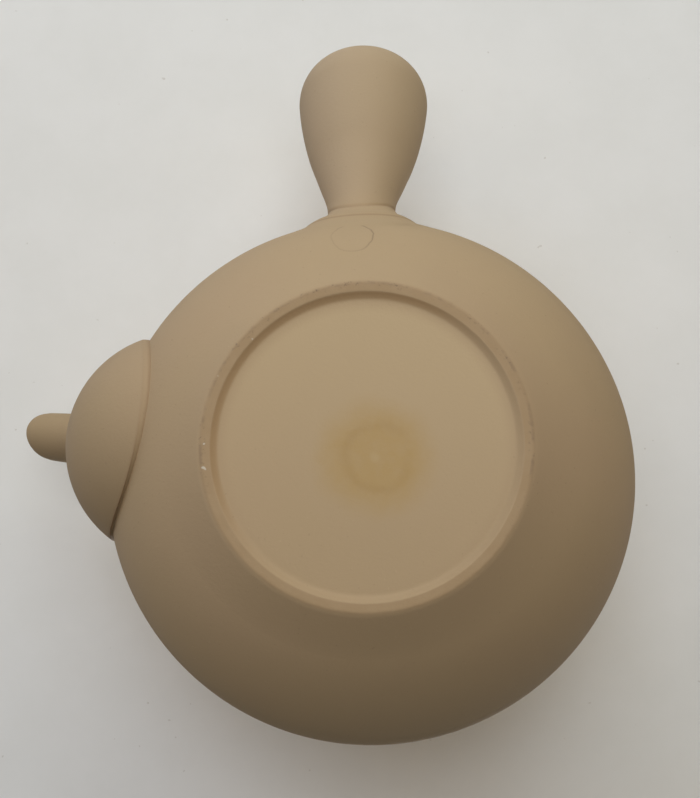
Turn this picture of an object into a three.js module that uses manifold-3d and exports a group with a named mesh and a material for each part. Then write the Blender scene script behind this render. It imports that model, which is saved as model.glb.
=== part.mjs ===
// Side-handled Japanese teapot (yokode kyusu) in unglazed stoneware.
// Millimetres, +Z up, standing on z = 0. The spout points along -X and the handle leaves beside it.
// A potter throws each piece here by itself and lutes the pot's pieces together; the lid lifts off.
import * as THREE from "three";
import { mergeVertices } from "three/addons/utils/BufferGeometryUtils.js";
import Module from "manifold-3d";

const wasm = await Module();
wasm.setup();

// Clearance between two pieces that are luted together or cut to fit each other.
const seamGap = 0.3;

// Body: two quarter ellipses that meet at the widest circle.
const bodyRadius = 56;
const bodyWidestHeight = 36;
const bodyLowerDepth = 42;
const bodyUpperRise = 38;
const bodyWall = 3;
const floorThickness = 3.5;
const rimSeatRadius = 34;
const mouthRadius = 28.5;
const mouthLipDepth = 4;
const shoulderThickening = 3;

// Foot ring under the body, set in a little from where the body's curve ends, its inside sloping to the base.
const footRadius = 31.6;
const footWidth = 1.9;
const footSlope = 1.6;
const footHeight = 1.6;
const footBevel = 0.4;
const footStep = 0.6;

// Spout: a ball luted on the body, its centre sunk behind the body's widest circle.
const bulbRadius = 24.4;
const bulbWall = 2.4;
const bulbSink = 14.2;
const spoutHeight = 34.7;

// Nozzle on the ball, turned a little towards the handle, with a slanted lip.
const nozzleTurn = 5.5;
const nozzleElevation = 40;
const nozzleLength = 25.5;
const nozzleRootRadius = 8.2;
const nozzleFlare = 1.6;
const nozzleRootDepth = 2;
const nozzleTipRadius = 5.8;
const boreRadius = 4.1;
const lipSlant = 16;

// Strainer: a pierced dome that stands into the pot, its collar in the body wall behind the spout.
const strainerRadius = 13;
const strainerRise = 10;
const strainerWall = 1.6;
const strainerCollar = 6;
const strainerSetback = 8;
const strainerHoleRadius = 1.1;
const strainerHoleSpacing = 5.3;
const strainerHoleRings = [0, 20, 40, 60];

// Handle: a hollow flared grip with a skirt where it meets the body and a vent hole in its end.
const handleRootTurn = 78.8;
const handleHeading = 81.7;
const handleElevation = 20;
const handleHeight = 40;
const handleLength = 53.2;
const skirtRadius = 12;
const skirtEdge = 1;
const skirtFlare = 1.6;
const skirtRise = 3.2;
const handleRootDepth = 2;
const neckRadius = 7.6;
const neckPosition = 7;
const gripRadius = 15.4;
const gripPosition = 38.4;
const gripEndFullness = 2.4;
const handleWall = 3;
const ventRadius = 4;

// How far along from neck to grip, and what share of the widening is reached there.
const gripFlare = [
  [0.13, 0.05],
  [0.4, 0.41],
  [0.7, 0.79],
];

// Lid, inset a little from the seat's edge, with its locating flange and steam hole.
const lidInset = 0.6;
const lidEdge = 2.6;
const lidEdgeRound = 0.9;
const lidBevel = 0.4;
const lidRise = 5;
const lidThickness = 3.6;
const lidClearance = 0.6;
const flangeWall = 2.6;
const flangeDepth = 8.5;
const lidCoveWidth = 3;
const lidCoveDepth = 1.6;
const steamHoleRadius = 1.6;
const steamHoleReach = 17;

// Knob on the lid.
const knobSeatMargin = 1;
const knobFootRadius = 6.4;
const knobWaistRadius = 5;
const knobRadius = 9;
const knobHeight = 14;

// Fineness of the round surfaces.
const bodySegments = 60;
const gripSegments = 32;
const smallSegments = 24;
const holeSegments = 6;
const arcSteps = 8;

// How far a cutting rod runs past the surface that it cuts.
const overcut = 2;

const clay = { color: 0xb09a7a, roughness: 0.85, metalness: 0 };
const clayMaterial = (name) => new THREE.MeshStandardMaterial({ name, ...clay });

const degrees = THREE.MathUtils.degToRad;
const pointsOf = (pairs) => pairs.map(([radius, height]) => new THREE.Vector2(radius, height));

// Points of an ellipse arc in the (radius, height) half plane, angles counted from the widest point.
function ellipseArc(centreHeight, across, up, from, to, steps = arcSteps) {
  const points = [];
  for (let i = 0; i <= steps; i++) {
    const angle = from + ((to - from) * i) / steps;
    points.push(new THREE.Vector2(across * Math.cos(angle), centreHeight + up * Math.sin(angle)));
  }
  return points;
}

// A smooth profile through a few chosen points.
const smoothProfile = (pairs, steps) => new THREE.SplineCurve(pointsOf(pairs)).getPoints(steps);

// The closed solid of a geometry whose shared vertices are still separate.
function solidOf(geometry) {
  const bare = geometry.clone();
  bare.deleteAttribute("normal");
  bare.deleteAttribute("uv");
  const merged = mergeVertices(bare, 1e-4);
  const index = merged.index.array;
  const corners = [];
  for (let i = 0; i < index.length; i += 3) {
    const [a, b, c] = [index[i], index[i + 1], index[i + 2]];
    if (a !== b && b !== c && c !== a) corners.push(a, b, c);
  }
  return new wasm.Manifold(
    new wasm.Mesh({
      numProp: 3,
      vertProperties: merged.attributes.position.array,
      triVerts: Uint32Array.from(corners),
    }),
  );
}

// A turned piece about +Z, bent where asked. The profile runs up the outside and down the inside.
function turned(points, segments, place = new THREE.Matrix4(), bend = null) {
  const geometry = new THREE.LatheGeometry(points, segments);
  geometry.rotateX(Math.PI / 2);
  if (bend) {
    const spots = geometry.attributes.position;
    for (let i = 0; i < spots.count; i++) {
      const spot = bend(new THREE.Vector3().fromBufferAttribute(spots, i));
      spots.setXYZ(i, spot.x, spot.y, spot.z);
    }
  }
  geometry.applyMatrix4(place);
  return solidOf(geometry);
}

// A solid ball, its poles along the placed Z axis.
function ball(radius, place) {
  const outline = ellipseArc(0, radius, radius, -Math.PI / 2, Math.PI / 2, gripSegments / 2);
  return turned(outline, gripSegments, place);
}

// A plain rod along the placed Z axis, from one height to another.
function rod(radius, from, to, segments, place) {
  return turned(pointsOf([[0, from], [radius, from], [radius, to], [0, to]]), segments, place);
}

// Carries +Z to a direction given by its turn about +Z from -X and its elevation, at a point.
function along(turn, elevation, at) {
  const heading = new THREE.Vector3(-Math.cos(elevation), 0, Math.sin(elevation));
  heading.applyAxisAngle(new THREE.Vector3(0, 0, 1), turn);
  const spin = new THREE.Quaternion().setFromUnitVectors(new THREE.Vector3(0, 0, 1), heading);
  return new THREE.Matrix4().compose(at, spin, new THREE.Vector3(1, 1, 1));
}

function meshOf(solid, name) {
  const found = solid.getMesh();
  const geometry = new THREE.BufferGeometry();
  geometry.setAttribute("position", new THREE.BufferAttribute(Float32Array.from(found.vertProperties), 3));
  geometry.setIndex(new THREE.BufferAttribute(Uint32Array.from(found.triVerts), 1));
  geometry.computeVertexNormals();
  const mesh = new THREE.Mesh(geometry, clayMaterial(name));
  mesh.name = name;
  return mesh;
}

// Angle on an ellipse, counted from its widest point, at which it has a given radius.
const angleAt = (radius, across) => Math.acos(radius / across);

const rimHeight = bodyWidestHeight + bodyUpperRise * Math.sin(angleAt(rimSeatRadius, bodyRadius));
const bulbCentre = new THREE.Vector3(bulbSink - bodyRadius, 0, spoutHeight);
const nozzlePlace = along(degrees(nozzleTurn), degrees(nozzleElevation), bulbCentre);

// The strainer's axis points into the pot, from the edge of its dome.
const strainerBase = new THREE.Vector3(strainerSetback - bodyRadius, 0, spoutHeight);
const strainerPlace = along(Math.PI, 0, strainerBase);

// The body's outside as a solid, grown by a gap, for cutting what is luted on it.
function bodyEnvelope(gap) {
  const across = bodyRadius + gap;
  const lower = ellipseArc(bodyWidestHeight, across, bodyLowerDepth + gap, -Math.PI / 2, 0);
  const upper = ellipseArc(bodyWidestHeight, across, bodyUpperRise + gap, 0, Math.PI / 2);
  return turned([...lower, ...upper.slice(1)], bodySegments);
}

function body() {
  const innerAcross = bodyRadius - bodyWall;
  const innerUp = bodyUpperRise - bodyWall;
  const innerDown = bodyLowerDepth - bodyWall;
  const shoulderRadius = rimSeatRadius + shoulderThickening;
  const undersideRadius = footRadius + footStep;
  const floorHeight = footHeight + floorThickness;
  const floorAngle = Math.asin((bodyWidestHeight - floorHeight) / innerDown);
  const lowerOut = ellipseArc(
    bodyWidestHeight, bodyRadius, bodyLowerDepth, -angleAt(undersideRadius, bodyRadius), 0);
  const upperOut = ellipseArc(
    bodyWidestHeight, bodyRadius, bodyUpperRise, 0, angleAt(rimSeatRadius, bodyRadius));
  const upperIn = ellipseArc(
    bodyWidestHeight, innerAcross, innerUp, angleAt(shoulderRadius, innerAcross), 0);
  const lowerIn = ellipseArc(bodyWidestHeight, innerAcross, innerDown, 0, -floorAngle);
  const profile = [
    new THREE.Vector2(0, footHeight),
    new THREE.Vector2(lowerOut[0].x, footHeight),
    ...lowerOut.slice(1),
    ...upperOut.slice(1),
    new THREE.Vector2(mouthRadius, rimHeight),
    new THREE.Vector2(mouthRadius, rimHeight - mouthLipDepth),
    ...upperIn,
    ...lowerIn.slice(1),
    new THREE.Vector2(0, floorHeight),
  ];
  const seat = rod(strainerRadius + seamGap, -bodyRadius, strainerRise, gripSegments, strainerPlace);
  return turned(profile, bodySegments).subtract(seat);
}

function footRing() {
  const inner = footRadius - footWidth;
  return turned(pointsOf([
    [inner - footSlope, footHeight],
    [inner - footSlope / 3, footHeight / 2],
    [inner, footBevel / 2],
    [inner + footBevel, 0],
    [footRadius - footBevel, 0],
    [footRadius, footBevel],
    [footRadius, footHeight],
    [inner - footSlope, footHeight],
  ]), bodySegments);
}

function spoutBulb() {
  const shell = ball(bulbRadius, nozzlePlace).subtract(ball(bulbRadius - bulbWall, nozzlePlace));
  const bore = rod(boreRadius, 0, bulbRadius + overcut, smallSegments, nozzlePlace);
  return shell.subtract(bodyEnvelope(seamGap)).subtract(bore);
}

function spoutNozzle() {
  const root = bulbRadius - nozzleRootDepth;
  const tip = bulbRadius + nozzleLength;
  const uncut = tip + 2 * nozzleTipRadius;
  const outside = smoothProfile([
    [nozzleRootRadius + nozzleFlare, root],
    [nozzleRootRadius, bulbRadius],
    [nozzleTipRadius, bulbRadius + 0.35 * nozzleLength],
    [nozzleTipRadius, tip],
    [nozzleTipRadius, uncut],
  ], arcSteps);
  const bore = pointsOf([[boreRadius, uncut], [boreRadius, root]]);
  const tube = turned([...outside, ...bore, outside[0].clone()], smallSegments, nozzlePlace);
  const tipPoint = new THREE.Vector3(0, 0, tip).applyMatrix4(nozzlePlace);
  const lipPlace = along(degrees(nozzleTurn), degrees(nozzleElevation + lipSlant), tipPoint);
  const cut = rod(4 * nozzleTipRadius, 0, 6 * nozzleTipRadius, smallSegments, lipPlace);
  return tube.subtract(cut).subtract(ball(bulbRadius + seamGap, nozzlePlace));
}

function strainer() {
  const inner = strainerRadius - strainerWall;
  const innerRise = strainerRise - strainerWall;
  const collar = new THREE.Vector2(inner, -strainerCollar);
  const dome = turned([
    collar,
    new THREE.Vector2(strainerRadius, -strainerCollar),
    ...ellipseArc(0, strainerRadius, strainerRise, 0, Math.PI / 2),
    ...ellipseArc(0, inner, innerRise, Math.PI / 2, 0),
    collar.clone(),
  ], gripSegments, strainerPlace);
  const drills = [];
  for (const tilt of strainerHoleRings) {
    const circle = 2 * Math.PI * strainerRadius * Math.sin(degrees(tilt));
    const count = Math.max(1, Math.round(circle / strainerHoleSpacing));
    for (let i = 0; i < count; i++) {
      const place = strainerPlace.clone()
        .multiply(new THREE.Matrix4().makeRotationZ((2 * Math.PI * i) / count))
        .multiply(new THREE.Matrix4().makeRotationX(degrees(tilt)));
      drills.push(rod(
        strainerHoleRadius, innerRise - overcut, strainerRadius + overcut, holeSegments, place));
    }
  }
  return dome.subtract(wasm.Manifold.union(drills));
}

// The grip's outline from neck to vent, set in from the outside by a wall.
function gripOutline(inset) {
  const neck = neckRadius - inset;
  const widest = gripRadius - inset;
  const domeLength = handleLength - gripPosition - inset;
  const flare = smoothProfile([
    [neck, neckPosition],
    ...gripFlare.map(([way, share]) => [
      neck + share * (widest - neck),
      neckPosition + way * (gripPosition - neckPosition),
    ]),
    [widest, gripPosition],
  ], arcSteps);
  const power = 2 / gripEndFullness;
  const lastAngle = Math.acos((ventRadius / widest) ** (1 / power));
  const dome = [];
  for (let i = 1; i <= arcSteps; i++) {
    const angle = (lastAngle * i) / arcSteps;
    dome.push(new THREE.Vector2(
      widest * Math.cos(angle) ** power, gripPosition + domeLength * Math.sin(angle) ** power));
  }
  return [...flare, ...dome];
}

// Whether a point lies inside the body's outer surface.
function isInBody(point) {
  const rise = point.z > bodyWidestHeight ? bodyUpperRise : bodyLowerDepth;
  return Math.hypot(point.x / bodyRadius, point.y / bodyRadius, (point.z - bodyWidestHeight) / rise) < 1;
}

// Slides the foot of a handle along its axis so that the skirt's edge follows the body's surface all round.
function seatedOnBody(place) {
  const surfaceAt = (angle) => {
    let [inside, outside] = [-skirtRadius, skirtRadius];
    for (let i = 0; i < 40; i++) {
      const middle = (inside + outside) / 2;
      const edge = new THREE.Vector3(skirtRadius * Math.cos(angle), skirtRadius * Math.sin(angle), middle);
      if (isInBody(edge.applyMatrix4(place))) inside = middle;
      else outside = middle;
    }
    return inside;
  };
  return (spot) => {
    const share = Math.min(1, Math.max(0, 1 - spot.z / neckPosition)) ** 2;
    const slide = share > 0 ? share * surfaceAt(Math.atan2(spot.y, spot.x)) : 0;
    return new THREE.Vector3(spot.x, spot.y, spot.z + slide);
  };
}

function handle() {
  const rootAngle = degrees(handleRootTurn);
  const root = new THREE.Vector3(
    -bodyRadius * Math.cos(rootAngle), -bodyRadius * Math.sin(rootAngle), handleHeight);
  const place = along(degrees(handleHeading), degrees(handleElevation), root);
  const skirt = smoothProfile([
    [skirtRadius, -handleRootDepth],
    [skirtRadius, 0],
    [skirtRadius - skirtEdge / 2, skirtEdge],
    [neckRadius + skirtFlare, skirtRise],
    [neckRadius, neckPosition],
  ], arcSteps);
  const profile = [
    ...skirt.slice(0, -1),
    ...gripOutline(0),
    ...gripOutline(handleWall).reverse(),
    new THREE.Vector2(neckRadius - handleWall, -handleRootDepth),
    skirt[0].clone(),
  ];
  return turned(profile, gripSegments, place, seatedOnBody(place)).subtract(bodyEnvelope(seamGap));
}

const lidTop = rimHeight + lidEdge + lidRise;
const knobSeatRadius = knobFootRadius + knobSeatMargin;

function lid() {
  const lidRadius = rimSeatRadius - lidInset;
  const flangeRadius = mouthRadius - lidClearance;
  const flangeInner = flangeRadius - flangeWall;
  const crown = ellipseArc(rimHeight + lidEdge, lidRadius - lidEdgeRound, lidRise, 0, Math.PI / 2)
    .filter((point) => point.x > knobSeatRadius);
  const hollowTop = lidTop - lidThickness;
  const profile = pointsOf([
    [flangeInner, rimHeight - flangeDepth],
    [flangeRadius, rimHeight - flangeDepth],
    [flangeRadius, rimHeight],
    [lidRadius - lidBevel, rimHeight],
    [lidRadius, rimHeight + lidBevel],
    [lidRadius, rimHeight + lidEdge - lidEdgeRound],
    ...crown.map((point) => [point.x, point.y]),
    [knobSeatRadius, lidTop],
    [0, lidTop],
    [0, hollowTop],
    [flangeInner - lidCoveWidth, hollowTop - lidCoveDepth],
    [flangeInner, hollowTop - 2 * lidCoveDepth],
    [flangeInner, rimHeight - flangeDepth],
  ]);
  const steam = rod(steamHoleRadius, rimHeight - overcut, lidTop + overcut, smallSegments / 2,
    new THREE.Matrix4().makeTranslation(-steamHoleReach, 0, 0));
  return turned(profile, bodySegments).subtract(steam);
}

function lidKnob() {
  const outline = [
    new THREE.Vector2(0, lidTop),
    ...smoothProfile([
      [knobFootRadius, lidTop],
      [knobWaistRadius, lidTop + 0.28 * knobHeight],
      [0.89 * knobRadius, lidTop + 0.58 * knobHeight],
      [knobRadius, lidTop + 0.75 * knobHeight],
      [0.78 * knobRadius, lidTop + 0.93 * knobHeight],
      [0.4 * knobRadius, lidTop + 0.99 * knobHeight],
    ], arcSteps),
    new THREE.Vector2(0, lidTop + knobHeight),
  ];
  return turned(outline, smallSegments);
}

const kyusu = new THREE.Group();
const pieces = {
  body,
  foot_ring: footRing,
  spout_bulb: spoutBulb,
  spout_nozzle: spoutNozzle,
  strainer,
  handle,
  lid,
  lid_knob: lidKnob,
};
for (const [name, make] of Object.entries(pieces)) kyusu.add(meshOf(make(), name));

// The origin is the middle of the bounding box, on the surface the foot stands on.
const bounds = new THREE.Box3().setFromObject(kyusu, true);
const middle = bounds.getCenter(new THREE.Vector3());
kyusu.position.set(-middle.x, -middle.y, 0);

export default kyusu;
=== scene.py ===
"""Looks of the side-handled teapot: smooth turned clay pieces, their finish, the light and the camera."""
import math

import bmesh
import bpy
import numpy as np
from mathutils import Matrix, Vector


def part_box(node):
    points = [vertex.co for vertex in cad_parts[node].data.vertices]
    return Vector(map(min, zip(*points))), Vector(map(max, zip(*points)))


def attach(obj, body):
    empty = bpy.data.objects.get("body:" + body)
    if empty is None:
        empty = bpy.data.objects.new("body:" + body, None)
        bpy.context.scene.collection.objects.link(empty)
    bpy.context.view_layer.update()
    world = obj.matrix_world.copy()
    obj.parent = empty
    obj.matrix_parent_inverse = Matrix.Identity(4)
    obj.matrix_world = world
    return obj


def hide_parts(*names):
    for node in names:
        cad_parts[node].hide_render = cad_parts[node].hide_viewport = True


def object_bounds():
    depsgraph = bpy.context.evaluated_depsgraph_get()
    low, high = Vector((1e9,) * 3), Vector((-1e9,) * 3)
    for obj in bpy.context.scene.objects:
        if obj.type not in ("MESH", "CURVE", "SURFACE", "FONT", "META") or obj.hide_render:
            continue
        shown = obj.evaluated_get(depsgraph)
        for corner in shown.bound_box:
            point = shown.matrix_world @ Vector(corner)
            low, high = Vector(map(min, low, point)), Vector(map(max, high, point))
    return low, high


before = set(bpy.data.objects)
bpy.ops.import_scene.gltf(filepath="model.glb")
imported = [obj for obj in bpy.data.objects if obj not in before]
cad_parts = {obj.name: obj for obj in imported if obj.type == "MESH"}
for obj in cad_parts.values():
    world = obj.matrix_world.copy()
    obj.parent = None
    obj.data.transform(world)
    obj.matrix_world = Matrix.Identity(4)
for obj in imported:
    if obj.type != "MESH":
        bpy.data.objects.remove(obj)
cad_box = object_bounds()

MM = 0.001

# How finely the pot and its small round pieces are turned, and how far a hand leaves the pot out of round.
POT_SEGMENTS = 224
SMALL_SEGMENTS = 112
POT_UNROUND = 0.05
# A radius so small that a turned line closes there, and a quarter turn that stops just short of the axis.
ON_AXIS = 1e-6
TO_AXIS = math.pi / 2 - 1e-6

# Sizes are in millimetres and angles in degrees, as the solids have them, apart from those said to differ.
# The body and its foot.
BODY_RADIUS = 56
WIDEST_HEIGHT = 36
LOWER_DEPTH = 42
UPPER_RISE = 38
BODY_WALL = 3
FLOOR_THICKNESS = 3.5
SEAT_RADIUS = 34
MOUTH_RADIUS = 28.5
MOUTH_LIP = 4
MOUTH_ROUNDING = 0.7
SHOULDER_THICKENING = 3
FOOT_RADIUS = 31.6
FOOT_WIDTH = 1.9
FOOT_HEIGHT = 1.6
FOOT_BEVEL = 0.4
# The base differs: it is lower than the solid's, because the photograph shows a shallow foot.
BASE_HEIGHT = 0.8

# The spout's ball and nozzle, and the strainer behind them.
BALL_RADIUS = 24.4
BALL_SINK = 14.2
BALL_WALL = 2.4
SPOUT_HEIGHT = 34.7
NOZZLE_TURN = 5.5
NOZZLE_ELEVATION = 40
NOZZLE_LENGTH = 25.5
NOZZLE_ROOT = 8.2
NOZZLE_TIP = 5.8
BORE_RADIUS = 4.1
LIP_SLANT = 16
LIP_CUTBACK = 0.34
LIP_CROWN = 0.45
LIP_ROUNDING = 0.75
STRAINER_RADIUS = 13
STRAINER_RISE = 10
STRAINER_WALL = 1.6
STRAINER_COLLAR = 6
STRAINER_SETBACK = 8
HOLE_RADIUS = 1.1
HOLE_SPACING = 5.3
HOLE_RINGS = (0, 20, 40, 60)

# The handle.
ROOT_TURN = 78.8
HANDLE_HEADING = 81.7
HANDLE_ELEVATION = 20
HANDLE_HEIGHT = 40
HANDLE_LENGTH = 53.2
# The end differs: the photograph's dome ends this much sooner than the solid's.
HANDLE_END_TRIM = 0.65
SKIRT_RADIUS = 12
NECK_RADIUS = 7.6
NECK_POSITION = 7
# The grip differs: in the photograph it is widest 1.8 mm nearer its end, and fuller towards the neck.
GRIP_RADIUS = 15.47
GRIP_POSITION = 40.2
GRIP_FULLNESS = 2.25
GRIP_FLARE = ((0.12, 0.065), (0.3, 0.345), (0.5, 0.63), (0.75, 0.865))
HANDLE_WALL = 3
VENT_RADIUS = 4

# The lid and its knob.
LID_INSET = 0.6
LID_EDGE = 2.6
LID_EDGE_ROUND = 0.9
LID_RISE = 5
LID_THICKNESS = 3.6
LID_CLEARANCE = 0.6
FLANGE_WALL = 2.6
FLANGE_DEPTH = 8.5
LID_COVE_WIDTH = 3
LID_COVE_DEPTH = 1.6
STEAM_RADIUS = 1.6
STEAM_REACH = 17
KNOB_FOOT = 6.4
KNOB_WAIST = 5
KNOB_RADIUS = 9
KNOB_HEIGHT = 14

# The turned body's axis in the frame, in metres: the foot ring is centred on it.
foot_low, foot_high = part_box("foot_ring")
AXIS = Vector(((foot_low.x + foot_high.x) / 2, (foot_low.y + foot_high.y) / 2, 0))

RIM_HEIGHT = WIDEST_HEIGHT + UPPER_RISE * math.sin(math.acos(SEAT_RADIUS / BODY_RADIUS))
LID_TOP = RIM_HEIGHT + LID_EDGE + LID_RISE

# Other differences from the solids: how much deeper, nearer the handle and wider the ball is, how much longer
# the nozzle is and how far its lip is drawn in, in millimetres, how far the handle's root is turned, in
# degrees, and by what share the foot is longer than wide.
BALL_DEEPER, BALL_ASIDE, BALL_WIDER = 0.95, 0.2, 0.3
NOZZLE_LONGER, LIP_DRAWN_IN = 0.75, 0.4
HANDLE_TURNED = 0.65
FOOT_OVAL = 0.012
BALL_CENTRE = Vector((BALL_SINK + BALL_DEEPER - BODY_RADIUS, -BALL_ASIDE, SPOUT_HEIGHT))
BALL_OUTSIDE = BALL_RADIUS + BALL_WIDER


def camera():
    """The photograph looks up at the foot from below, with the handle up and the spout to the left."""
    distance, focal_pixels = 0.300, 1381
    tilt, lean, spout_above_left = 13.26, -1.99, 8.6
    aim_aside, aim_up = -4.32, -17.07
    long_side_pixels, sensor = 798, 36
    data = bpy.data.cameras.new("camera")
    data.sensor_width = sensor
    data.lens = focal_pixels * sensor / long_side_pixels
    data.clip_start, data.clip_end = 0.01, 20
    cam = bpy.data.objects.new("camera", data)
    bpy.context.scene.collection.objects.link(cam)
    spin = Matrix.Rotation(math.radians(-spout_above_left), 3, "Z")
    turn = spin @ Matrix.Rotation(math.radians(lean), 3, "Y") @ Matrix.Rotation(math.radians(tilt), 3, "X")
    right, up, ahead = (turn @ Vector(v) for v in ((1, 0, 0), (0, -1, 0), (0, 0, 1)))
    aim = AXIS + spin @ Vector((aim_aside, aim_up, WIDEST_HEIGHT)) * MM
    cam.matrix_world = (Matrix.Translation(aim - distance * ahead)
                        @ Matrix((right, up, -ahead)).transposed().to_4x4())
    bpy.context.scene.camera = cam


def ellipse_arc(centre, across, rise, start, end, steps=64):
    """Points (radius, height) of an ellipse arc, angles counted from its widest point."""
    return [(across * math.cos(a), centre + rise * math.sin(a)) for a in np.linspace(start, end, steps + 1)]


def spline(points, per_span=10):
    """A smooth line through the points, by Catmull-Rom spans."""
    p = np.array(points, float)
    p = np.vstack([2 * p[0] - p[1], p, 2 * p[-1] - p[-2]])
    out = []
    for a, b, c, d in zip(p, p[1:], p[2:], p[3:]):
        for t in np.linspace(0, 1, per_span, endpoint=False):
            out.append(0.5 * (2 * b + (c - a) * t + (2 * a - 5 * b + 4 * c - d) * t ** 2
                              + (3 * b - a - 3 * c + d) * t ** 3))
    out.append(p[-2])
    return [tuple(v) for v in out]


def rounded(corners, radius, steps=6):
    """A line through (radius, height) corners with each inner corner rounded."""
    out = [corners[0]]
    for before, here, after in zip(corners, corners[1:], corners[2:]):
        a, b, c = (np.array(q, float) for q in (before, here, after))
        reach = min(radius, 0.45 * np.linalg.norm(a - b), 0.45 * np.linalg.norm(c - b))
        start = b + (a - b) / np.linalg.norm(a - b) * reach
        end = b + (c - b) / np.linalg.norm(c - b) * reach
        for t in np.linspace(0, 1, steps + 1):
            out.append(tuple((1 - t) ** 2 * start + 2 * t * (1 - t) * b + t ** 2 * end))
    out.append(corners[-1])
    return out


def evenly(line, step=1.2):
    """The same line with long straight stretches cut up, so that shading stays true by small roundings."""
    out = [line[0]]
    for a, b in zip(line, line[1:]):
        pieces = max(1, math.ceil(math.dist(a, b) / step))
        for i in range(1, pieces + 1):
            t = i / pieces
            out.append(tuple(p + (q - p) * t for p, q in zip(a, b)))
    return out


def bell(x, middle, width):
    """A soft hump of height 1."""
    return math.exp(-((x - middle) / width) ** 2)


def fade(x, start, end):
    """Falls smoothly from 1 at the start to 0 at the end."""
    t = min(1, max(0, (x - start) / (end - start)))
    return 1 - t * t * (3 - 2 * t)


def wobble(angle, height, amount):
    """The small unroundness that a hand leaves on the wheel, as a change of radius, only inward."""
    long_wave, short_wave, ring_wave = 1.0, 0.6, 0.5
    waves = (long_wave * math.sin(2 * angle + 0.4) + short_wave * math.sin(3 * angle + 1.1 + 0.03 * height)
             + ring_wave * math.sin(0.23 * height + 0.7))
    return amount * (waves - long_wave - short_wave - ring_wave)


def lathe(profile, place, segments=192, bend=None, unround=0.0):
    """Vertices and faces of a profile, in (radius, height) millimetres, turned about the placed Z axis."""
    verts, faces = [], []
    n = len(profile)
    for i in range(segments):
        a = 2 * math.pi * i / segments
        for r, h in profile:
            r += wobble(a, h, unround) * min(1, r / 10)
            p = Vector((r * math.cos(a), r * math.sin(a), h))
            verts.append(place @ (bend(p, a) if bend else p))
    for i in range(segments):
        for j in range(n - 1):
            a, b = i * n + j, ((i + 1) % segments) * n + j
            faces.append((a, b, b + 1, a + 1))
    return verts, faces


def mesh_of(name, shape, crease_dirt_and_shade=None):
    """A mesh in the frame, with outward faces, from a shape in millimetres about the pot's axis.
    The crease values say how far each vertex is darkened: partly dirt in the joints, partly painted shade in
    the creases."""
    verts, faces = shape
    mesh = bpy.data.meshes.new(name)
    mesh.from_pydata([AXIS + v * MM for v in verts], [], faces)
    if crease_dirt_and_shade:
        mesh.attributes.new("crease_dirt_and_shade", "FLOAT", "POINT").data.foreach_set("value", crease_dirt_and_shade)
    b = bmesh.new()
    b.from_mesh(mesh)
    bmesh.ops.remove_doubles(b, verts=b.verts, dist=2e-7)
    bmesh.ops.dissolve_degenerate(b, edges=b.edges, dist=1e-7)
    bmesh.ops.recalc_face_normals(b, faces=b.faces)
    b.to_mesh(mesh)
    b.free()
    return mesh


def clay_piece(name, shape, body, node, finish, crease_dirt_and_shade=None):
    """A Blender object that stands for a node of the frame."""
    mesh = mesh_of(name, shape, crease_dirt_and_shade)
    mesh.shade_smooth()
    mesh.materials.append(finish)
    piece = bpy.data.objects.new(name, mesh)
    bpy.context.scene.collection.objects.link(piece)
    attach(piece, body)
    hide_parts(node)
    return piece


def cut(piece, drill):
    """Cut a piece by a closed shape, for good."""
    mesh = mesh_of("drill", drill)
    tool = bpy.data.objects.new("drill", mesh)
    bpy.context.scene.collection.objects.link(tool)
    step = piece.modifiers.new("cut", "BOOLEAN")
    step.operation, step.solver, step.object = "DIFFERENCE", "EXACT", tool
    shaped = bpy.data.meshes.new_from_object(piece.evaluated_get(bpy.context.evaluated_depsgraph_get()))
    piece.modifiers.clear()
    whole = piece.data
    piece.data = shaped
    bpy.data.meshes.remove(whole)
    bpy.data.objects.remove(tool)
    bpy.data.meshes.remove(mesh)
    shaped.set_sharp_from_angle(angle=math.radians(40))


def heading(turn, elevation):
    """The direction given by its turn about +Z from -X and its elevation, in degrees."""
    t, e = math.radians(turn), math.radians(elevation)
    return Vector((-math.cos(e) * math.cos(t), -math.cos(e) * math.sin(t), math.sin(e)))


def along(direction, at=(0, 0, 0)):
    """Carries +Z to a direction, at a point in millimetres."""
    spin = Vector((0, 0, 1)).rotation_difference(direction)
    return Matrix.Translation(Vector(at)) @ spin.to_matrix().to_4x4()


def rod(radius, start, end, place, segments=48):
    """A closed round bar, to cut with."""
    return lathe([(ON_AXIS, start), (radius, start), (radius, end), (ON_AXIS, end)], place, segments)


def under_body(radius):
    """The height of the body's lower surface at a radius."""
    return WIDEST_HEIGHT - LOWER_DEPTH * math.sqrt(1 - (radius / BODY_RADIUS) ** 2)


def body_level(p):
    """Rough distance in millimetres outside the body's surface, and the way out, at a point."""
    rise = UPPER_RISE if p.z > WIDEST_HEIGHT else LOWER_DEPTH
    up = p.z - WIDEST_HEIGHT
    level = math.sqrt((p.x ** 2 + p.y ** 2) / BODY_RADIUS ** 2 + (up / rise) ** 2)
    way = Vector((p.x / BODY_RADIUS ** 2, p.y / BODY_RADIUS ** 2, up / rise ** 2))
    return (level - 1) * level / way.length, way.normalized()


def between(low, high, is_low, steps=40):
    """The place between two numbers where a test stops holding."""
    for _ in range(steps):
        middle = (low + high) / 2
        low, high = (middle, high) if is_low(middle) else (low, middle)
    return low


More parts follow.
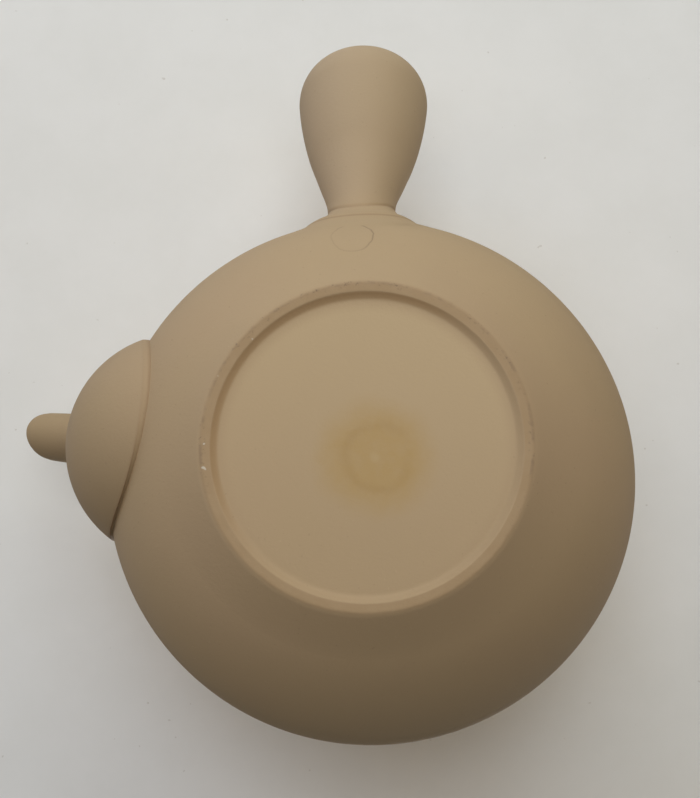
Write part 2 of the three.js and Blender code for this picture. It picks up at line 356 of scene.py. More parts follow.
class Finish:
    """A node material built step by step on a Principled shader."""

    def __init__(self, name):
        self.material = bpy.data.materials.new(name)
        self.material.use_nodes = True
        self.nodes = self.material.node_tree.nodes
        self.link = self.material.node_tree.links.new
        self.shader = self.nodes["Principled BSDF"]
        self.place = self.nodes.new("ShaderNodeTexCoord").outputs["Object"]

    def feed(self, socket, value):
        if isinstance(value, bpy.types.NodeSocket):
            self.link(value, socket)
        elif isinstance(value, tuple):
            socket.default_value = (*value, 1)[:len(socket.default_value)]
        else:
            socket.default_value = value

    def noise(self, scale, detail=2.0, roughness=0.5):
        made = self.nodes.new("ShaderNodeTexNoise")
        made.inputs["Scale"].default_value = scale
        made.inputs["Detail"].default_value = detail
        made.inputs["Roughness"].default_value = roughness
        self.link(self.place, made.inputs["Vector"])
        return made.outputs["Fac"]

    def ramp(self, value, low, high, to_low=0.0, to_high=1.0):
        made = self.nodes.new("ShaderNodeMapRange")
        made.interpolation_type = "SMOOTHSTEP"
        for name, number in (("From Min", low), ("From Max", high), ("To Min", to_low), ("To Max", to_high)):
            made.inputs[name].default_value = number
        self.feed(made.inputs["Value"], value)
        return made.outputs["Result"]

    def maths(self, operation, *values):
        made = self.nodes.new("ShaderNodeMath")
        made.operation = operation
        for socket, value in zip(made.inputs, values):
            self.feed(socket, value)
        return made.outputs[0]

    def times(self, *values):
        result = values[0]
        for value in values[1:]:
            result = self.maths("MULTIPLY", result, value)
        return result

    def mix(self, share, a, b):
        made = self.nodes.new("ShaderNodeMix")
        made.data_type = "RGBA"
        self.feed(made.inputs[0], share)
        self.feed(made.inputs[6], a)
        self.feed(made.inputs[7], b)
        return made.outputs[2]

    def tint(self, share, colour, tone):
        """Multiplies a colour by a tone, by a share."""
        made = self.nodes.new("ShaderNodeMix")
        made.data_type, made.blend_type = "RGBA", "MULTIPLY"
        self.feed(made.inputs[0], share)
        self.feed(made.inputs[6], colour)
        self.feed(made.inputs[7], tone)
        return made.outputs[2]

    def coordinates(self):
        """The x, y and z of the place, in metres."""
        made = self.nodes.new("ShaderNodeSeparateXYZ")
        self.link(self.place, made.inputs["Vector"])
        return made.outputs

    def distance_from(self, centre, oval=0.0):
        """Distance in metres from the upright line through a point, for a ring longer by a share."""
        x, y, _ = self.coordinates()
        dx = self.maths("SUBTRACT", x, centre[0])
        dy = self.times(self.maths("SUBTRACT", y, centre[1]), 1 / (1 + oval))
        return self.maths("SQRT", self.maths("ADD", self.times(dx, dx), self.times(dy, dy)))

    def band(self, value, rise, fall):
        """1 between two edges and 0 outside them. Each edge is given by where it starts and ends."""
        return self.times(self.ramp(value, *rise), self.ramp(value, *fall, 1.0, 0.0))

    def underside(self):
        """1 on the base and the foot, 0 from 3 mm up, so that the floor inside the pot is left out."""
        return self.ramp(self.coordinates()[2], 0.002, 0.003, 1.0, 0.0)


CLAY_COLOUR = (0.419, 0.302, 0.177)
# Creases and joints are darkened to this colour: partly dirt, partly painted shade.
CREASE_DIRT_AND_SHADE_COLOUR = (0.18, 0.086, 0.032)


def shade_of(colour, red, green, blue):
    """A colour with each channel multiplied."""
    return (colour[0] * red, colour[1] * green, colour[2] * blue)


def clay_finish(name, base=CLAY_COLOUR, extra=None):
    """Fine unglazed stoneware: drifting warm and cool tones, dark and pale grains and a fine tooth."""
    f = Finish(name)
    drift = f.ramp(f.noise(17, 2), 0.38, 0.62)
    colour = f.mix(drift, shade_of(base, 1.004, 0.994, 1.004), shade_of(base, 0.998, 1.002, 0.982))
    smoke = f.ramp(f.noise(60, 4, 0.6), 0.50, 0.80)
    colour = f.mix(f.times(smoke, 0.3), colour, shade_of(base, 0.93, 0.93, 0.95))
    grog = f.ramp(f.noise(1500, 1), 0.73, 0.79)
    colour = f.mix(f.times(grog, 0.5), colour, shade_of(base, 0.78, 0.75, 0.74))
    pale = f.ramp(f.noise(1900, 1), 0.72, 0.80)
    colour = f.mix(f.times(pale, 0.5), colour, shade_of(base, 1.14, 1.15, 1.20))
    # Darkening along creases and joints, from a mesh attribute: partly dirt, partly painted shade.
    crease_dirt_and_shade = f.nodes.new("ShaderNodeAttribute")
    crease_dirt_and_shade.attribute_name = "crease_dirt_and_shade"
    colour = f.mix(f.times(crease_dirt_and_shade.outputs["Fac"], 0.9), colour, CREASE_DIRT_AND_SHADE_COLOUR)
    if extra:
        colour = extra(f, colour)
    f.link(colour, f.shader.inputs["Base Color"])
    f.shader.inputs["Roughness"].default_value = 0.78
    f.shader.inputs["Specular IOR Level"].default_value = 0.3
    bump = f.nodes.new("ShaderNodeBump")
    bump.inputs["Strength"].default_value = 0.18
    bump.inputs["Distance"].default_value = 0.0003
    f.link(f.noise(1300, 5, 0.62), bump.inputs["Height"])
    f.link(bump.outputs["Normal"], f.shader.inputs["Normal"])
    return f.material


def base_stain(f, colour):
    """The soft tea-brown blot on the middle of the base, with a darker rim and a pale dot."""
    full, blot, rim, rim_width = 0.0058, 0.0132, 0.0062, 0.0016
    tea, dried_tea, pale_dot = (0.434, 0.276, 0.085), (0.33, 0.20, 0.07), (0.54, 0.42, 0.26)
    centre = (AXIS.x + 0.0020, AXIS.y + 0.0023)
    ragged = f.ramp(f.noise(110, 4, 0.6), 0.28, 0.72, -0.0008, 0.0008)
    away = f.maths("ADD", f.distance_from(centre), ragged)
    under = f.underside()
    inside = f.ramp(away, full, blot, 1.0, 0.0)
    mottled = f.ramp(f.noise(420, 3, 0.6), 0.3, 0.7, 0.44, 0.58)
    colour = f.mix(f.times(inside, mottled, under), colour, tea)
    ring = f.ramp(f.maths("ABSOLUTE", f.maths("SUBTRACT", away, rim)), 0.0, rim_width, 1.0, 0.0)
    patchy = f.ramp(f.noise(95, 2), 0.40, 0.60, 0.25, 1.0)
    colour = f.mix(f.times(ring, patchy, under, 0.20), colour, dried_tea)
    dot = f.ramp(f.distance_from(centre), 0.0003, 0.0014, 1.0, 0.0)
    return f.mix(f.times(dot, under, 0.22), colour, pale_dot)


def round_mark(f, colour):
    """A plain faint loop scratched near the handle's root, its colour partly the scratch and partly painted
    shade in it, clearest on one side.
    """
    turn, height = math.radians(77.6), 12.1
    half_width, half_length, line_width = 0.00435, 0.0069, 0.06
    scratch_and_shade_colour = (0.24, 0.165, 0.095)
    level = math.sqrt(1 - ((height - WIDEST_HEIGHT) / LOWER_DEPTH) ** 2) * BODY_RADIUS * MM
    made = f.nodes.new("ShaderNodeMapping")
    made.vector_type = "TEXTURE"
    made.inputs["Location"].default_value = (AXIS.x - level * math.cos(turn), AXIS.y - level * math.sin(turn),
                                             height * MM)
    made.inputs["Rotation"].default_value = (0, 0, turn)
    made.inputs["Scale"].default_value = (half_length, half_width, half_length)
    f.link(f.place, made.inputs["Vector"])
    size = f.nodes.new("ShaderNodeVectorMath")
    size.operation = "LENGTH"
    f.link(made.outputs["Vector"], size.inputs[0])
    away = f.maths("ADD", size.outputs["Value"], f.ramp(f.noise(300, 2), 0.3, 0.7, -0.035, 0.035))
    line = f.ramp(f.maths("ABSOLUTE", f.maths("SUBTRACT", away, 1.0)), 0.0, line_width, 1.0, 0.0)
    part = f.nodes.new("ShaderNodeSeparateXYZ")
    f.link(made.outputs["Vector"], part.inputs["Vector"])
    # The loop is clearest on one side: painted shade in the scratch.
    clear = f.ramp(f.maths("SUBTRACT", part.outputs[2], part.outputs[1]), -0.9, 1.1, 0.22, 0.80)
    return f.mix(f.times(line, clear), colour, scratch_and_shade_colour)


def pale_skin_and_painted_light(f, colour):
    """Inside the foot ring the base is paler and yellower, most towards the handle: partly a paler skin,
    partly painted light on the side towards the handle.
    """
    whole, gone, half_way_across = 0.0255, 0.0300, 0.034
    inside = f.ramp(f.distance_from(AXIS), whole, gone, 1.0, 0.0)
    under = f.underside()
    # Paler towards the handle: partly the skin, partly painted light.
    skin_and_light_share = f.ramp(f.coordinates()[1], AXIS.y - half_way_across, AXIS.y + half_way_across, 0.96, 0.06)
    return f.mix(f.times(inside, under, skin_and_light_share), colour, shade_of(CLAY_COLOUR, 1.22, 1.265, 1.27))


def ball_slip_and_shade(f, colour):
    """Darkens the body beside the spout's ball, on the side away from the handle: partly brown slip smeared
    there, partly painted shade under the ball.
    """
    reach_in, reach_out, side_start, side_full = 0.0010, 0.0013, -0.004, 0.012
    centre = AXIS + BALL_CENTRE * MM
    away = f.nodes.new("ShaderNodeVectorMath")
    away.operation = "DISTANCE"
    f.link(f.place, away.inputs[0])
    away.inputs[1].default_value = centre
    edge = BALL_OUTSIDE * MM
    near = f.ramp(away.outputs["Value"], edge - reach_in, edge + reach_out, 1.0, 0.0)
    side = f.ramp(f.coordinates()[1], centre.y + side_start, centre.y + side_full)
    # Partly smeared slip, partly painted shade under the ball.
    return f.mix(f.times(near, side, 0.18), colour, CREASE_DIRT_AND_SHADE_COLOUR)


def body_marks_and_painted_shading(f, colour):
    """All that marks the body, with the painted light on the base and the painted shade beside the ball."""
    return ball_slip_and_shade(f, round_mark(f, base_stain(f, pale_skin_and_painted_light(f, colour))))


def grip_tone(f, colour):
    """The grip is a little paler and cooler than the collar that it grows from."""
    collar, grip = 0.0575, 0.0665
    return f.tint(f.ramp(f.distance_from(AXIS), collar, grip), colour, (1.02, 1.055, 1.13))


def foot_wear_and_painted_shading(f, colour):
    """A duller face, brown rub marks along the ring's outer edge and a few pale chips, with painted light on
    the base inside the ring and painted shade in the cove.
    """
    rub_colour, scuff_colour, chip_colour = (0.215, 0.150, 0.100), (0.16, 0.11, 0.075), (0.62, 0.56, 0.46)
    colour = pale_skin_and_painted_light(f, colour)
    edge = f.distance_from(AXIS, FOOT_OVAL)
    x, y, _ = f.coordinates()
    towards_handle = f.ramp(y, AXIS.y + 0.004, AXIS.y + 0.019, 1.0, 0.0)
    face = f.band(edge, (0.0297, 0.0300), (0.0314, 0.0322))
    outer_edge = f.band(edge, (0.0310, 0.0313), (0.0315, 0.0320))
    outer_half = f.band(edge, (0.0302, 0.0311), (0.0317, 0.0321))
    cove = f.band(edge, (0.0280, 0.0289), (0.0295, 0.0299))
    colour = f.mix(f.times(face, f.ramp(f.noise(200, 4, 0.6), 0.35, 0.65, 0.7, 1.0)), colour,
                   shade_of(CLAY_COLOUR, 0.90, 0.86, 0.81))
    patchy = f.ramp(f.noise(260, 4, 0.7), 0.46, 0.66, 0.10, 1.0)
    colour = f.mix(f.times(outer_edge, towards_handle, patchy, 0.45), colour, rub_colour)
    # Fine dark scuffs lie over the outer half of the face, more of them in places.
    scuffed = f.times(outer_half, towards_handle, f.ramp(f.noise(1100, 3, 0.7), 0.55, 0.66),
                      f.ramp(f.noise(90, 2), 0.42, 0.62, 0.15, 1.0))
    colour = f.mix(f.times(scuffed, 0.55), colour, scuff_colour)
    # Old tea lies in the cove, greyer opposite the spout. On the side of the spout and the handle the cove is
    # warm and darker, partly tea and partly painted shade.
    side = f.ramp(f.maths("ADD", x, y), AXIS.x + AXIS.y - 0.022, AXIS.x + AXIS.y + 0.005, 1.0, 0.0)
    colour = f.mix(f.times(cove, side, 0.42), colour, shade_of(CLAY_COLOUR, 0.84, 0.68, 0.46))
    opposite = f.ramp(x, AXIS.x + 0.004, AXIS.x + 0.024)
    colour = f.mix(f.times(cove, opposite, 0.85), colour, shade_of(CLAY_COLOUR, 0.93, 0.92, 0.90))
    chips = f.ramp(f.noise(420, 1), 0.73, 0.76)
    return f.mix(f.times(chips, face, 0.8), colour, chip_colour)


def body_piece(finish):
    """The thrown body with its lid seat, and the opening behind the spout."""
    inner, up, down = BODY_RADIUS - BODY_WALL, UPPER_RISE - BODY_WALL, LOWER_DEPTH - BODY_WALL
    floor = FOOT_HEIGHT + FLOOR_THICKNESS
    shoulder = math.acos((SEAT_RADIUS + SHOULDER_THICKENING) / inner)
    high = math.acos(SEAT_RADIUS / BODY_RADIUS)
    low = -math.asin((WIDEST_HEIGHT - BASE_HEIGHT) / LOWER_DEPTH)
    outside = ellipse_arc(WIDEST_HEIGHT, BODY_RADIUS, LOWER_DEPTH, low, 0)
    outside += ellipse_arc(WIDEST_HEIGHT, BODY_RADIUS, UPPER_RISE, 0, high)[1:]
    inside = ellipse_arc(WIDEST_HEIGHT, inner, up, shoulder, 0)
    inside += ellipse_arc(WIDEST_HEIGHT, inner, down, 0, -math.asin((WIDEST_HEIGHT - floor) / down))[1:]
    lip = rounded([outside[-2], outside[-1], (MOUTH_RADIUS, RIM_HEIGHT),
                   (MOUTH_RADIUS, RIM_HEIGHT - MOUTH_LIP), inside[0]], MOUTH_ROUNDING)
    profile = [(ON_AXIS, BASE_HEIGHT)] + outside[:-2] + lip + inside[1:] + [(ON_AXIS, floor)]
    shape = lathe(evenly(profile), Matrix(), POT_SEGMENTS, unround=POT_UNROUND)
    piece = clay_piece("body_clay", shape, "pot", "body", finish)
    seat = along(Vector((-1, 0, 0)), (0, 0, SPOUT_HEIGHT))
    clearance, past_inside, past_outside = 0.3, 8, 4
    cut(piece, rod(STRAINER_RADIUS + clearance, BODY_RADIUS - STRAINER_SETBACK - past_inside,
                   BODY_RADIUS + past_outside, seat))


def foot_piece(finish):
    """The foot ring, from the cove inside it to the cone that meets the body."""
    inner = FOOT_RADIUS - FOOT_WIDTH
    # Outside, the ring leans out of its face into a straight cone that meets the body without an edge.
    start, end, lowest, sunk = FOOT_RADIUS + 0.9, FOOT_RADIUS + 9.4, 0.56, 0.02
    proud = under_body(start) - lowest
    fillet = []
    for t in np.linspace(0, 1, 15):
        radius = start + (end - start) * t
        fillet.append((radius, under_body(radius) - proud * (1 - t) ** 2 + sunk * t))
    cove = spline([(inner - 1.8, BASE_HEIGHT + 0.01), (inner - 1.2, BASE_HEIGHT - 0.07),
                   (inner - 0.5, 0.5 * BASE_HEIGHT), (inner - 0.1, 0.2 * BASE_HEIGHT),
                   (inner + 0.1, 0.06 * BASE_HEIGHT)], 7)
    middle = (inner + 0.95, 0)
    face = rounded([cove[-1], (inner + 0.3, 0), middle], FOOT_BEVEL)
    outside = spline([middle, (FOOT_RADIUS - 0.45, 0), (FOOT_RADIUS, 0.05),
                      (FOOT_RADIUS + 0.45, 0.26)] + fillet, 5)
    line = evenly(cove[:-1] + face[:-1] + [(r, max(0, h)) for r, h in outside], 0.5)
    # The cove is darkened a little: partly dirt, partly painted shade in the recess.
    dirt_and_shade = [0.06 * bell(r, inner - 0.3, 0.45) for r, h in line]

    def oval(p, angle):
        share = fade(math.hypot(p.x, p.y), FOOT_RADIUS + 1, end - 0.5)
        return Vector((p.x, p.y * (1 + FOOT_OVAL * share), p.z))

    shape = lathe(line, Matrix(), POT_SEGMENTS, oval, POT_UNROUND)
    clay_piece("foot_clay", shape, "pot", "foot_ring", finish, crease_dirt_and_shade=dirt_and_shade * POT_SEGMENTS)


def ball_piece(finish):
    """The ball from its pole down to the body, and the narrow rolled edge that it is luted on with."""
    near_reach, far_reach, short_of_body = 2.2, 0.9, 0.95
    sphere_steps, turns, sunk = 60, 200, 0.5
    rolled = spline([(0.0, 1.0), (0.12, 0.92), (0.35, 0.74), (0.6, 0.50), (0.82, 0.27), (0.95, 0.11),
                     (1.0, 0.0)], 5)
    verts, faces, crease_dirt_and_shade = [], [], []
    pole = Vector((-1, 0, 0))
    for i in range(turns):
        a = 2 * math.pi * i / turns
        side = Vector((0, math.cos(a), math.sin(a)))
        # Away from the handle the edge is narrow and its crease is darkened most, partly dirt and partly
        # painted shade.
        # Beside the handle its lower line is darkened most.
        away_from_handle = 1 - fade(side.y, -0.5, 0.8)
        dirt_and_shade = 0.08 + 0.34 * away_from_handle ** 1.5
        low_dirt_and_shade = 0.24 - 0.20 * away_from_handle
        edge_reach = near_reach + (far_reach - near_reach) * away_from_handle

        def on_ball(theta):
            return BALL_CENTRE + BALL_OUTSIDE * (pole * math.cos(theta) + side * math.sin(theta))

        meeting = between(0.2, math.pi - 0.3, lambda t: body_level(on_ball(t))[0] > 0)
        meet = on_ball(meeting)
        last = between(0.2, meeting, lambda t: (on_ball(t) - meet).length > edge_reach)
        for j in range(sphere_steps):
            theta = last * (1 - (1 - j / sphere_steps) ** 1.4)
            verts.append(on_ball(theta))
            crease_dirt_and_shade.append(0.8 * dirt_and_shade * bell(BALL_OUTSIDE * (last - theta), 0, 0.3 + 0.3 * dirt_and_shade))
        rim = on_ball(last)
        level, out = body_level(rim)
        foot = rim - out * level
        away = (meet - foot) * (1 - short_of_body / (meet - foot).length)
        for u, h in rolled:
            verts.append(foot + away * u + out * (h * level))
            crease_dirt_and_shade.append(max(dirt_and_shade * bell(u, 0.08, 0.2 + 0.4 * dirt_and_shade), low_dirt_and_shade * bell(u, 1.0, 0.3)))
        verts.append(foot + away - out * sunk)
        crease_dirt_and_shade.append(low_dirt_and_shade)
    n = sphere_steps + len(rolled) + 1
    for i in range(turns):
        for j in range(n - 1):
            a, b = i * n + j, ((i + 1) % turns) * n + j
            faces.append((a, b, b + 1, a + 1))
    clay_piece("spout_ball_clay", (verts, faces), "pot", "spout_bulb", finish, crease_dirt_and_shade=crease_dirt_and_shade)


def nozzle_piece(finish):
    """The nozzle, flared into the ball, with a rounded slanted lip."""
    tip = BALL_OUTSIDE + NOZZLE_LENGTH + LIP_CROWN + NOZZLE_LONGER
    # The flare starts inside the ball's surface and leaves it without an edge.
    outside = spline([(NOZZLE_ROOT + 2.9, BALL_OUTSIDE - 3.1), (NOZZLE_ROOT + 2.1, BALL_OUTSIDE - 2.15),
                      (NOZZLE_ROOT + 1.2, BALL_OUTSIDE - 1.2), (NOZZLE_ROOT + 0.4, BALL_OUTSIDE + 0.1),
                      (NOZZLE_ROOT - 1.2, BALL_OUTSIDE + 0.12 * NOZZLE_LENGTH),
                      (NOZZLE_TIP + 0.1, BALL_OUTSIDE + 0.38 * NOZZLE_LENGTH),
                      (NOZZLE_TIP, BALL_OUTSIDE + 0.72 * NOZZLE_LENGTH),
                      (NOZZLE_TIP - 0.3 * LIP_DRAWN_IN, tip - 2.4)])
    lip = rounded([outside[-1], (NOZZLE_TIP - LIP_DRAWN_IN, tip), (BORE_RADIUS, tip), (BORE_RADIUS, tip - 2)],
                  LIP_ROUNDING)
    profile = outside[:-1] + lip + [(BORE_RADIUS, BALL_RADIUS - BALL_WALL)]
    place = along(heading(NOZZLE_TURN, NOZZLE_ELEVATION), BALL_CENTRE)
    high_side = place.to_3x3().inverted() @ Vector((0, 0, 1))
    high_side.z = 0
    high_side.normalize()
    slope = math.tan(math.radians(LIP_SLANT))

    far_side = high_side.cross(Vector((0, 0, 1)))
    far_side *= math.copysign(1, (place.to_3x3() @ far_side).y)

    def slanted(p, angle):
        share = min(1, max(0, (p.z - BALL_OUTSIDE - 0.4 * NOZZLE_LENGTH) / (0.6 * NOZZLE_LENGTH)))
        cut_back = LIP_CUTBACK * (p.dot(far_side) + math.hypot(p.dot(far_side), 1.5)) / 2
        return p - Vector((0, 0, (slope * p.dot(high_side) + cut_back) * share ** 2))

    shape = lathe(evenly(profile, 0.8), place, SMALL_SEGMENTS, slanted)
    clay_piece("nozzle_clay", shape, "pot", "spout_nozzle", finish)


def strainer_piece(finish):
    """The pierced dome that stands into the pot behind the spout."""
    inner, inner_rise = STRAINER_RADIUS - STRAINER_WALL, STRAINER_RISE - STRAINER_WALL
    place = along(Vector((1, 0, 0)), (STRAINER_SETBACK - BODY_RADIUS, 0, SPOUT_HEIGHT))
    rim = rounded([(inner, -1), (inner, -STRAINER_COLLAR), (STRAINER_RADIUS, -STRAINER_COLLAR),
                   (STRAINER_RADIUS, -1)], 0.4)
    dome = ellipse_arc(0, STRAINER_RADIUS, STRAINER_RISE, 0, TO_AXIS, 24)
    hollow = ellipse_arc(0, inner, inner_rise, TO_AXIS, 0, 24)
    shape = lathe(evenly(rim + dome + hollow + [(inner, -1)]), place, 96)
    piece = clay_piece("strainer_clay", shape, "pot", "strainer", finish)
    for tilt in HOLE_RINGS:
        count = max(1, round(2 * math.pi * STRAINER_RADIUS * math.sin(math.radians(tilt)) / HOLE_SPACING))
        for i in range(count):
            round_axis = Matrix.Rotation(2 * math.pi * i / count, 4, "Z")
            spin = round_axis @ Matrix.Rotation(math.radians(tilt), 4, "X")
            cut(piece, rod(HOLE_RADIUS, inner_rise - 2, STRAINER_RADIUS + 2, place @ spin, 16))


def grip_outline(inset):
    """The grip's outline from neck to vent, set in from the outside by a wall."""
    neck, widest = NECK_RADIUS - inset, GRIP_RADIUS - inset
    dome_length = HANDLE_LENGTH - HANDLE_END_TRIM - GRIP_POSITION - inset
    flare = [(neck, NECK_POSITION)]
    for way, share in GRIP_FLARE:
        flare.append((neck + share * (widest - neck), NECK_POSITION + way * (GRIP_POSITION - NECK_POSITION)))
    flare.append((widest, GRIP_POSITION))
    # One more point past the widest place keeps the line level there.
    line = spline(flare + [(widest - 0.25, GRIP_POSITION + 5)], 12)
    line = [p for p in line if p[1] <= GRIP_POSITION]
    power = 2 / GRIP_FULLNESS
    last = math.acos((VENT_RADIUS / widest) ** (1 / power))
    for a in np.linspace(0, last, 40)[1:]:
        line.append((widest * math.cos(a) ** power, GRIP_POSITION + dome_length * math.sin(a) ** power))
    return line


def handle_piece(finish):
    """The hollow grip, grown from a collar that is luted on the body."""
    turn = math.radians(ROOT_TURN + HANDLE_TURNED)
    root = Vector((-BODY_RADIUS * math.cos(turn), -BODY_RADIUS * math.sin(turn), HANDLE_HEIGHT))
    place = along(heading(HANDLE_HEADING, HANDLE_ELEVATION), root)
    # The collar and its low mound follow the body up to the crease that parts them from the neck.
    crease, crease_depth, lean_ends = NECK_POSITION + 1.2, 0.14, 22
    mound, collar, joint = 19.5, 13.65, 1.65
    segments = 160
    skirt = spline([(mound, -0.15), (mound - 1.5, 0.02), (mound - 2.9, 0.24), (mound - 4.1, 0.62),
                    (collar + 0.8, joint - 0.55), (collar + 0.25, joint - 0.16), (collar, joint),
                    (collar - 0.35, joint + 0.35), (collar - 1.1, joint + 0.85), (collar - 2.5, joint + 1.75),
                    (NECK_RADIUS + 2.2, crease - 3.4), (NECK_RADIUS + 1.1, crease - 2.1),
                    (NECK_RADIUS + 0.35, crease - 0.9), (NECK_RADIUS - crease_depth, crease)], 6)
    grip = [q for q in grip_outline(0) if q[1] > crease + 0.3]
    vent = rounded([grip[-2], grip[-1], (VENT_RADIUS - 0.01, HANDLE_LENGTH - 1.5)], 0.8)
    hollow = grip_outline(HANDLE_WALL)[::-1]
    profile = skirt + grip[:-2] + vent + hollow + [(NECK_RADIUS - HANDLE_WALL, -1.2)]
    seats = {}

    def surface_at(radius, angle):
        key = round(radius, 2), angle
        if key not in seats:
            edge = Vector((radius * math.cos(angle), radius * math.sin(angle), 0))
            seats[key] = between(-radius, radius,
                                 lambda h: body_level(place @ (edge + Vector((0, 0, h))))[0] < 0, 20)
        return seats[key]

    def seated(p, angle):
        share = fade(p.z, crease, lean_ends)
        if not share:
            return p
        return p + Vector((0, 0, share * surface_at(max(math.hypot(p.x, p.y), SKIRT_RADIUS), angle)))

    line = evenly(profile, 0.7)
    shape = lathe(line, place, segments, seated)
    outside = NECK_RADIUS - 1
    # The joint on the body and the crease under the neck are darkened: partly dirt, partly painted shade.
    dirt_and_shade = [max(0.42 * bell(h, joint, 0.22), 0.2 * bell(h, crease, 0.3)) if r > outside else 0.0
            for r, h in line]
    clay_piece("handle_clay", shape, "pot", "handle", finish, crease_dirt_and_shade=dirt_and_shade * segments)


def lid_piece(finish):
    """The domed lid with its locating flange and steam hole."""
    lid_radius = SEAT_RADIUS - LID_INSET
    flange = MOUTH_RADIUS - LID_CLEARANCE
    inner = flange - FLANGE_WALL
    hollow = LID_TOP - LID_THICKNESS
    crown = ellipse_arc(RIM_HEIGHT + LID_EDGE, lid_radius - LID_EDGE_ROUND, LID_RISE, 0.1, TO_AXIS)
    under = rounded([(ON_AXIS, hollow), (inner - LID_COVE_WIDTH, hollow - LID_COVE_DEPTH),
                     (inner, hollow - 2 * LID_COVE_DEPTH), (inner, RIM_HEIGHT - FLANGE_DEPTH),
                     (flange, RIM_HEIGHT - FLANGE_DEPTH), (flange, RIM_HEIGHT), (lid_radius, RIM_HEIGHT),
                     (lid_radius, RIM_HEIGHT + LID_EDGE), crown[0]], 0.8)
    shape = lathe(evenly(under + crown[1:]), Matrix(), 192, unround=0.04)
    piece = clay_piece("lid_clay", shape, "lid", "lid", finish)
    cut(piece, rod(STEAM_RADIUS, RIM_HEIGHT - 2, LID_TOP + 2, Matrix.Translation((-STEAM_REACH, 0, 0))))


def knob_piece(finish):
    """The knob, waisted for the fingers."""
    profile = spline([(KNOB_FOOT + 1.8, LID_TOP - 0.3), (KNOB_FOOT, LID_TOP + 0.45),
                      (KNOB_WAIST, LID_TOP + 0.28 * KNOB_HEIGHT),
                      (0.89 * KNOB_RADIUS, LID_TOP + 0.58 * KNOB_HEIGHT),
                      (KNOB_RADIUS, LID_TOP + 0.75 * KNOB_HEIGHT),
                      (0.78 * KNOB_RADIUS, LID_TOP + 0.93 * KNOB_HEIGHT),
                      (0.4 * KNOB_RADIUS, LID_TOP + 0.99 * KNOB_HEIGHT), (ON_AXIS, LID_TOP + KNOB_HEIGHT)])
    clay_piece("knob_clay", lathe(profile, Matrix(), SMALL_SEGMENTS), "lid", "lid_knob", finish)


def stage_plane(name, height, faces_up, shade, bounces):
    """A wide pale surface that shows only its own side, fades into the backdrop around the pot and lets the
    lamps through. One that bounces also gives light back to the pot."""
    reach, whole, gone = 3.0, 0.18, 0.42
    corners = [(x * reach, y * reach, height) for x, y in ((-1, -1), (1, -1), (1, 1), (-1, 1))]
    mesh = bpy.data.meshes.new(name)
    mesh.from_pydata(corners, [], [(0, 1, 2, 3) if faces_up else (3, 2, 1, 0)])
    plane = bpy.data.objects.new(name, mesh)
    bpy.context.scene.collection.objects.link(plane)
    f = Finish(name)
    mesh.materials.append(f.material)
    dust = f.ramp(f.noise(560, 1), 0.79, 0.82)
    cloud = f.ramp(f.noise(45, 4, 0.65), 0.3, 0.7)
    surface = f.mix(cloud, shade_of(shade, 0.985, 0.985, 0.98), shade_of(shade, 1.015, 1.015, 1.015))
    f.link(f.mix(f.times(dust, 0.4), surface, shade_of(shade, 0.6, 0.56, 0.5)), f.shader.inputs["Base Color"])
    f.shader.inputs["Roughness"].default_value = 0.9
    f.shader.inputs["Specular IOR Level"].default_value = 0.1
    path = f.nodes.new("ShaderNodeLightPath")
    side = f.nodes.new("ShaderNodeNewGeometry")
    seen = f.times(path.outputs["Is Camera Ray"], f.ramp(f.distance_from(AXIS), whole, gone, 1.0, 0.0))
    if bounces:
        seen = f.maths("MAXIMUM", seen, path.outputs["Is Diffuse Ray"])
    shows = f.times(seen, f.maths("SUBTRACT", 1.0, side.outputs["Backfacing"]))
    clear = f.nodes.new("ShaderNodeBsdfTransparent")
    either = f.nodes.new("ShaderNodeMixShader")
    f.link(shows, either.inputs[0])
    f.link(clear.outputs[0], either.inputs[1])
    f.link(f.shader.outputs[0], either.inputs[2])
    f.link(either.outputs[0], f.nodes["Material Output"].inputs["Surface"])


def lamp(name, at, size, power, colour=(1, 1, 1)):
    """A soft square lamp, placed from the pot's middle and turned to it."""
    data = bpy.data.lights.new(name, "AREA")
    data.size, data.energy, data.color = size, power, colour
    holder = bpy.data.objects.new(name, data)
    bpy.context.scene.collection.objects.link(holder)
    target = AXIS + Vector((0, 0, 0.04))
    holder.location = target + Vector(at)
    holder.rotation_mode = "QUATERNION"
    holder.rotation_quaternion = (target - holder.location).to_track_quat("-Z", "Y")


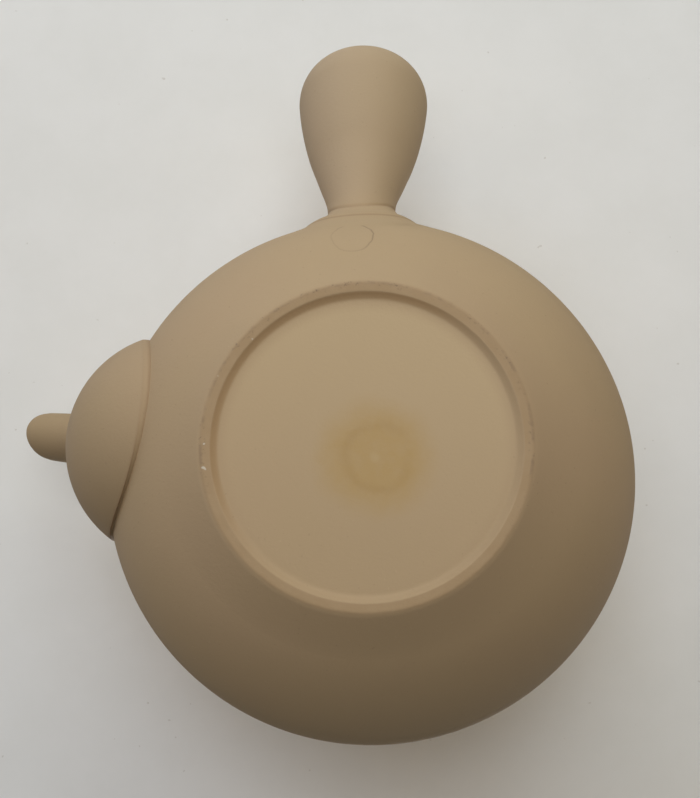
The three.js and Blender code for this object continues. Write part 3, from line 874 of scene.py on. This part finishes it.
def light():
    """A cool window up and to the left, softer lamps about the camera, two weak ones from behind the pot and
    one straight above, which lights the lid."""
    ambient, backdrop = 0.02, (0.70, 0.69, 0.665)
    world = bpy.data.worlds.new("room")
    world.use_nodes = True
    nodes, link = world.node_tree.nodes, world.node_tree.links.new
    room = nodes["Background"]
    room.inputs["Color"].default_value = (1.0, 0.91, 0.78, 1)
    room.inputs["Strength"].default_value = ambient
    behind = nodes.new("ShaderNodeBackground")
    behind.inputs["Color"].default_value = (*backdrop, 1)
    either = nodes.new("ShaderNodeMixShader")
    link(nodes.new("ShaderNodeLightPath").outputs["Is Camera Ray"], either.inputs[0])
    link(room.outputs[0], either.inputs[1])
    link(behind.outputs[0], either.inputs[2])
    link(either.outputs[0], nodes["World Output"].inputs["Surface"])
    bpy.context.scene.world = world
    lamp("front", (0, 0, -1.3), 0.9, 5.9)
    lamp("high_front", (0, -0.65, -1.1), 0.9, 2.5)
    lamp("window", (-0.8, -0.8, -0.65), 0.9, 6.1, (0.69, 0.80, 1.0))
    lamp("side", (0.8, -0.8, -0.65), 0.9, 1.7, (1.0, 0.72, 0.35))
    lamp("near_top", (0, -0.55, -0.35), 0.4, 1.15, (0.92, 1.0, 1.0))
    lamp("near_left", (-0.4, -0.1, -0.5), 0.4, 0.4, (1.0, 0.75, 0.45))
    lamp("behind_left", (-0.9, 0.1, 0.8), 0.9, 1.2)
    lamp("behind_right", (0.9, 0.1, 0.8), 0.9, 2.0)
    lamp("above", (0, 0, 1.3), 0.6, 10)


bpy.context.scene.view_settings.view_transform = "Standard"
camera()
clay = clay_finish("clay")
body_piece(clay_finish("body_clay", extra=body_marks_and_painted_shading))
foot_piece(clay_finish("foot_clay", extra=foot_wear_and_painted_shading))
ball_piece(clay_finish("ball_clay", base=shade_of(CLAY_COLOUR, 0.92, 0.92, 0.92)))
nozzle_piece(clay_finish("nozzle_clay", base=shade_of(CLAY_COLOUR, 0.87, 0.86, 0.80)))
strainer_piece(clay)
handle_piece(clay_finish("handle_clay", extra=grip_tone))
lid_piece(clay)
knob_piece(clay)
stage_plane("table", cad_box[1].z + 1 * MM, False, (0.765, 0.758, 0.730), True)
stage_plane("floor", -0.5 * MM, True, (0.540, 0.535, 0.515), False)
light()
